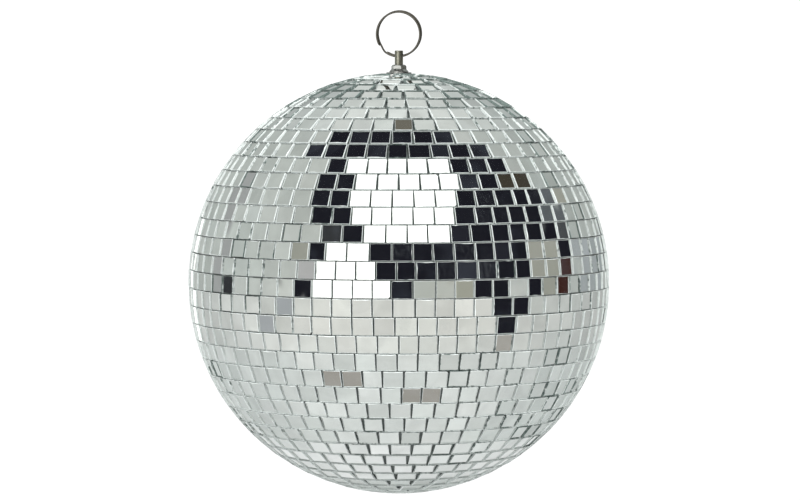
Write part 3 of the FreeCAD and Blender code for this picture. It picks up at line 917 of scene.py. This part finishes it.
# The camera stands where the photograph was taken from: degrees round from -Y, and degrees up.
CAMERA_AZIMUTH = 14
CAMERA_ELEVATION = 3.5
CAMERA_DISTANCE = 16 * BALL_RADIUS
CAMERA_LENS = 151.2
CAMERA_AIM_UP = 19.7 * MM
CAMERA_AIM_RIGHT = 0.65 * MM
FLOOR_RADIUS = 1.2
FLOOR_DROP = 0.34
SOFTBOX_SIZE = 0.5
SOFTBOX_DISTANCE = 1.5
SOFTBOX_ELEVATION = 41
SOFTBOX_POWER = 19


def camera_direction():
    return direction_to(CAMERA_AZIMUTH, CAMERA_ELEVATION)


def add_camera():
    """A long lens, aimed a little above the ball's middle so that the ring is in the picture."""
    data = bpy.data.cameras.new("camera")
    data.lens = CAMERA_LENS
    data.sensor_width = 36
    data.clip_end = 100
    camera = bpy.data.objects.new("camera", data)
    bpy.context.scene.collection.objects.link(camera)
    towards = camera_direction()
    right = Vector((0, 0, 1)).cross(towards).normalized()
    up = towards.cross(right)
    aim = CENTRE + up * CAMERA_AIM_UP + right * CAMERA_AIM_RIGHT
    camera.location = CENTRE + towards * CAMERA_DISTANCE
    camera.rotation_mode = "QUATERNION"
    camera.rotation_quaternion = (aim - camera.location).to_track_quat("-Z", "Y")
    bpy.context.scene.camera = camera


def add_floor():
    """Pale paper under the hanging ball. The tiles don't mirror it: the studio has its own."""
    bpy.ops.mesh.primitive_circle_add(vertices=96, radius=FLOOR_RADIUS, fill_type="NGON")
    floor = bpy.context.object
    floor.name = "floor"
    floor.location = (0, 0, CENTRE.z - FLOOR_DROP)
    material, tree, shader, coords = new_material("floor_paper", Roughness=0.8)
    pulp = noise(tree, coords, 3, 2)
    tone = mix_colour(tree, pulp, colour(0.86, 0.86, 0.86), colour(0.9, 0.9, 0.9))
    tree.links.new(tone, shader.inputs["Base Color"])
    floor.data.materials.append(material)
    floor.visible_glossy = False


def add_softbox(name, azimuth):
    """A square softbox that faces the ball, so many degrees to the camera's right."""
    data = bpy.data.lights.new(name, "AREA")
    data.shape = "SQUARE"
    data.size = SOFTBOX_SIZE
    data.energy = SOFTBOX_POWER
    light = bpy.data.objects.new(name, data)
    bpy.context.scene.collection.objects.link(light)
    towards = direction_to(CAMERA_AZIMUTH + azimuth, SOFTBOX_ELEVATION)
    light.location = CENTRE + towards * SOFTBOX_DISTANCE
    light.rotation_mode = "QUATERNION"
    light.rotation_quaternion = (-towards).to_track_quat("-Z", "Y")
    light.visible_glossy = False


# The studio round the ball, as panels. A panel is placed by where its reflection falls on the ball
# for a camera in front of it: longitudes to the right of the middle and latitudes, in degrees, then
# its brightness. Later panels lie over earlier ones.
BLACK, FLAG = (0.011, 0.011, 0.017), (0.04, 0.042, 0.046)
BROWN, SLATE, GREY = (0.054, 0.046, 0.034), (0.12, 0.13, 0.14), (0.37, 0.375, 0.33)
WHITE = (2.3, 2.3, 2.26)
WOOD, RED, WARM = (0.17, 0.16, 0.13), (0.05, 0.02, 0.016), (0.4, 0.38, 0.35)
HAZE, PALE, COOL, MIST = (0.43, 0.45, 0.47), (0.4, 0.41, 0.41), (0.38, 0.41, 0.42), (0.48,) * 3
SHADOW, CREAM, OLIVE = (0.075, 0.08, 0.085), (0.54, 0.56, 0.52), (0.4, 0.4, 0.34)
SAND = (0.45, 0.43, 0.4)
STUDIO_PANELS = [
    ((-60, -54), (-2, 34), PALE),
    ((-4, 4), (48.5, 53.5), WOOD),
    ((-28, 22), (43.5, 48.5), BLACK),
    ((-34, 36), (38.6, 43.5), BLACK),
    ((-22, 41), (34, 38.6), BLACK),
    ((-28, 33), (29, 34), BLACK),
    ((33, 47), (29, 34), BROWN),
    ((-29, 47), (24, 29), BLACK),
    ((47, 53), (24, 29), SLATE),
    ((53, 60), (24, 29), GREY),
    ((-24, 48), (19, 24), BLACK),
    ((48, 54), (19, 24), SLATE),
    ((-22, 47.5), (14, 19), BLACK),
    ((-22, -17), (14, 19), FLAG),
    ((47.5, 59), (14, 19), SHADOW),
    ((-31, -26.5), (9, 14), GREY),
    ((57, 76), (-1, 14), COOL),
    ((-26.5, 39.5), (9, 14), BLACK),
    ((39.5, 51), (9, 14), GREY),
    ((51, 57), (9, 14), BLACK),
    ((-29, -6), (4, 9), MIST),
    ((-6, 37), (4, 9), BLACK),
    ((37, 48), (4, 9), GREY),
    ((48, 54), (4, 9), RED),
    ((-31, 1.5), (-1, 4), BLACK),
    ((1.5, 13), (-1, 4), CREAM),
    ((13, 18.5), (-1, 4), OLIVE),
    ((18.5, 28), (-1, 4), BLACK),
    ((34.5, 40.5), (-1, 4), BLACK),
    ((40.5, 47), (-1, 4), GREY),
    ((47, 54), (-1, 4), RED),
    ((-57, -51), (-1, 4), FLAG),
    ((28, 39), (-5.7, -1), BLACK),
    ((-35, -28.5), (-5.7, -1), HAZE),
    ((29, 35), (-10.5, -5.7), BLACK),
    ((-41, -34.5), (-10.5, -5.7), HAZE),
    ((26.5, 32), (-15.5, -10.5), SAND),
    ((-24, -10), (-25.5, -20.5), WARM),
    ((1.5, 14.5), (-30.5, -25.5), WARM),
    ((-15, 18), (28, 38.6), WHITE),
    ((-16, 16), (24, 28), WHITE),
    ((-12.5, 17.5), (19, 24), WHITE),
    ((-7, 15), (14, 19), WHITE),
    ((-22.5, -9), (9, 14), WHITE),
    ((-23.5, -6), (4, 9), WHITE),
    ((-26, -2.5), (-1, 4), WHITE),
]
PANEL_EDGE = 0.35
# A doorway, a stand and a lamp on the far side: degrees from the point opposite the camera.
FAR_PANELS = [
    ((-14, 9), (-11, 6), BLACK),
    ((17, 20), (-11, 8), FLAG),
    ((-26, -17), (-9, 5), WHITE),
]
FAR_PANEL_EDGE = 1.0
ROOM_FOR_ROUGH_SURFACES = (0.5, 0.515, 0.51)
BACKDROP = (1.1, 1.1, 1.1)


def combined(tree, operation, *vectors):
    inputs = dict(enumerate(vectors))
    return add_node(tree, "ShaderNodeVectorMath", inputs, operation=operation).outputs[0]


def turn_and_rise(tree, direction, front):
    """How far a direction lies from front, towards the camera's right, and how high, in degrees."""
    right = direction_to(CAMERA_AZIMUTH + 90, 0)
    turn = calc(tree, "ARCTAN2", dot(tree, direction, right), dot(tree, direction, front))
    rise = calc(tree, "ARCSINE", dot(tree, direction, (0, 0, 1)))
    return calc(tree, "DEGREES", turn), calc(tree, "DEGREES", rise)


def ball_coordinates(tree, direction):
    """Longitude and latitude of the point of the ball that mirrors a direction of the studio
    towards the place of the scene's own camera. That place is a constant."""
    halfway = combined(tree, "ADD", direction, camera_direction())
    front = direction_to(CAMERA_AZIMUTH, 0)
    return turn_and_rise(tree, combined(tree, "NORMALIZE", halfway), front)


def between(tree, value, low, high, soft):
    """1 where the value lies between low and high, and 0 beyond, with soft edges."""
    rise = ramp(tree, value, low - soft, low + soft)
    fall = ramp(tree, value, high - soft, high + soft, 1.0, 0.0)
    return calc(tree, "MULTIPLY", rise, fall)


def add_panels(tree, tone, across, upwards, panels, soft):
    """Lays rectangles of these places and brightnesses over a tone."""
    for (left, right), (bottom, top), shade in panels:
        columns = between(tree, across, left, right, soft)
        rows = between(tree, upwards, bottom, top, soft)
        mask = calc(tree, "MULTIPLY", columns, rows)
        tone = mix_colour(tree, mask, tone, colour(*shade))
    return tone


def room_tone(tree, longitude, latitude, direction):
    """The room beyond the panels: bright paper below, a greyer wall above, darker far behind."""
    side = ramp(tree, calc(tree, "ABSOLUTE", longitude), 15, 60)
    high = ramp(tree, latitude, 42, 58)
    upper = mix_colour(tree, side, colour(0.6, 0.625, 0.595), colour(0.6, 0.64, 0.615))
    top = mix_colour(tree, side, colour(0.86, 0.89, 0.865), colour(0.56, 0.6, 0.59))
    upper = mix_colour(tree, high, upper, top)
    lower = mix_colour(tree, side, colour(0.8, 0.83, 0.815), colour(0.74, 0.78, 0.77))
    warm = mix_colour(tree, side, colour(0.84, 0.84, 0.8), colour(0.74, 0.76, 0.745))
    lower = mix_colour(tree, ramp(tree, latitude, -22, -8), lower, warm)
    low = ramp(tree, latitude, -52, -42, 1.0, 0.0)
    lower = mix_colour(tree, low, lower, colour(0.98, 1.0, 1.0))
    lowest = ramp(tree, latitude, -72, -58, 1.0, 0.0)
    lower = mix_colour(tree, lowest, lower, colour(0.6, 0.64, 0.62))
    tone = mix_colour(tree, ramp(tree, latitude, -6, 5), lower, upper)
    behind = ramp(tree, dot(tree, direction, -camera_direction()), -0.2, 0.95, 0.0, 0.12)
    tone = mix_colour(tree, behind, tone, colour(0.0, 0.0, 0.0))
    broad = ramp(tree, noise(tree, direction, 4, 2), 0.3, 0.7, 0.86, 1.1, "LINEAR")
    fine = ramp(tree, noise(tree, direction, 22, 2), 0.3, 0.7, 0.9, 1.08, "LINEAR")
    spread = calc(tree, "MULTIPLY", broad, fine)
    right_side, middle_height = ramp(tree, longitude, 12, 34), between(tree, latitude, -24, 44, 8)
    wall = calc(tree, "MULTIPLY", right_side, middle_height)
    spread = calc(tree, "MULTIPLY", spread, calc(tree, "MULTIPLY_ADD", wall, -0.16, 1.0))
    return mix_colour(tree, 1.0, tone, spread, "MULTIPLY")


def add_studio():
    """The room and its panels, for the ball to mirror. Rough surfaces see a dimmer room, since most
    of their light is from the softboxes, and the camera itself sees white."""
    world = bpy.data.worlds.new("studio")
    bpy.context.scene.world = world
    world.use_nodes = True
    tree = world.node_tree
    tree.nodes.clear()
    direction = add_node(tree, "ShaderNodeTexCoord").outputs["Generated"]
    longitude, latitude = ball_coordinates(tree, direction)
    tone = room_tone(tree, longitude, latitude, direction)
    turn, rise = turn_and_rise(tree, direction, -camera_direction())
    tone = add_panels(tree, tone, turn, rise, FAR_PANELS, FAR_PANEL_EDGE)
    tone = add_panels(tree, tone, longitude, latitude, STUDIO_PANELS, PANEL_EDGE)
    glimmer = ramp(tree, noise(tree, direction, 9, 3, 0.6), 0.5, 0.75)
    tone = mix_colour(tree, glimmer, tone, colour(0.03, 0.034, 0.042), "ADD")
    path = add_node(tree, "ShaderNodeLightPath").outputs
    scattered = calc(tree, "MINIMUM", path["Diffuse Depth"], 1.0)
    tone = mix_colour(tree, scattered, tone, colour(*ROOM_FOR_ROUGH_SURFACES))
    tone = mix_colour(tree, path["Is Camera Ray"], tone, colour(*BACKDROP))
    seen = add_node(tree, "ShaderNodeBackground", {"Color": tone, "Strength": 1.0})
    add_node(tree, "ShaderNodeOutputWorld", {"Surface": seen.outputs[0]})


def add_stage():
    add_camera()
    add_floor()
    add_studio()
    add_softbox("left_softbox", -40)
    add_softbox("right_softbox", 36)
    bpy.context.scene.view_settings.view_transform = "Standard"


add_stage()
add_tiles()
add_cloth()
add_hanger()
finish_cad_nodes()
